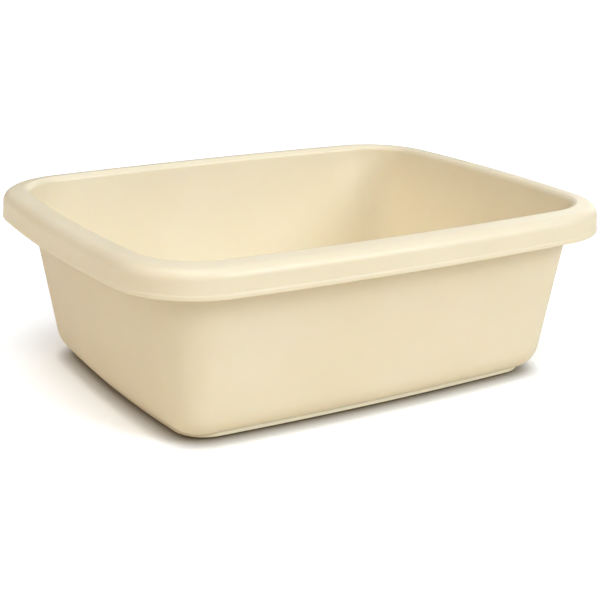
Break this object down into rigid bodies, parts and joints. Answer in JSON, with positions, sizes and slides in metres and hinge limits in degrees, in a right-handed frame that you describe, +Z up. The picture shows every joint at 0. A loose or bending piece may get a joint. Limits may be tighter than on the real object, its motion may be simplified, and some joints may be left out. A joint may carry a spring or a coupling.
{
  "type": "washing up bowl",
  "caption": "Rectangular plastic washing up bowl with rounded corners, drafted walls, a wide rolled rim to lift it by and a low foot ring.",
  "frame": {"origin": "middle of the footprint, on the plane that the foot ring stands on", "axes": "+X along the long sides, +Y across the bowl, +Z up out of its mouth"},
  "size_m": [0.39, 0.312, 0.132],
  "materials": {
    "bowl_plastic": "cream injection moulded polypropylene with a satin surface"
  },
  "bodies": {
    "root": {"bowl": "bowl_plastic"}
  },
  "joints": []
}
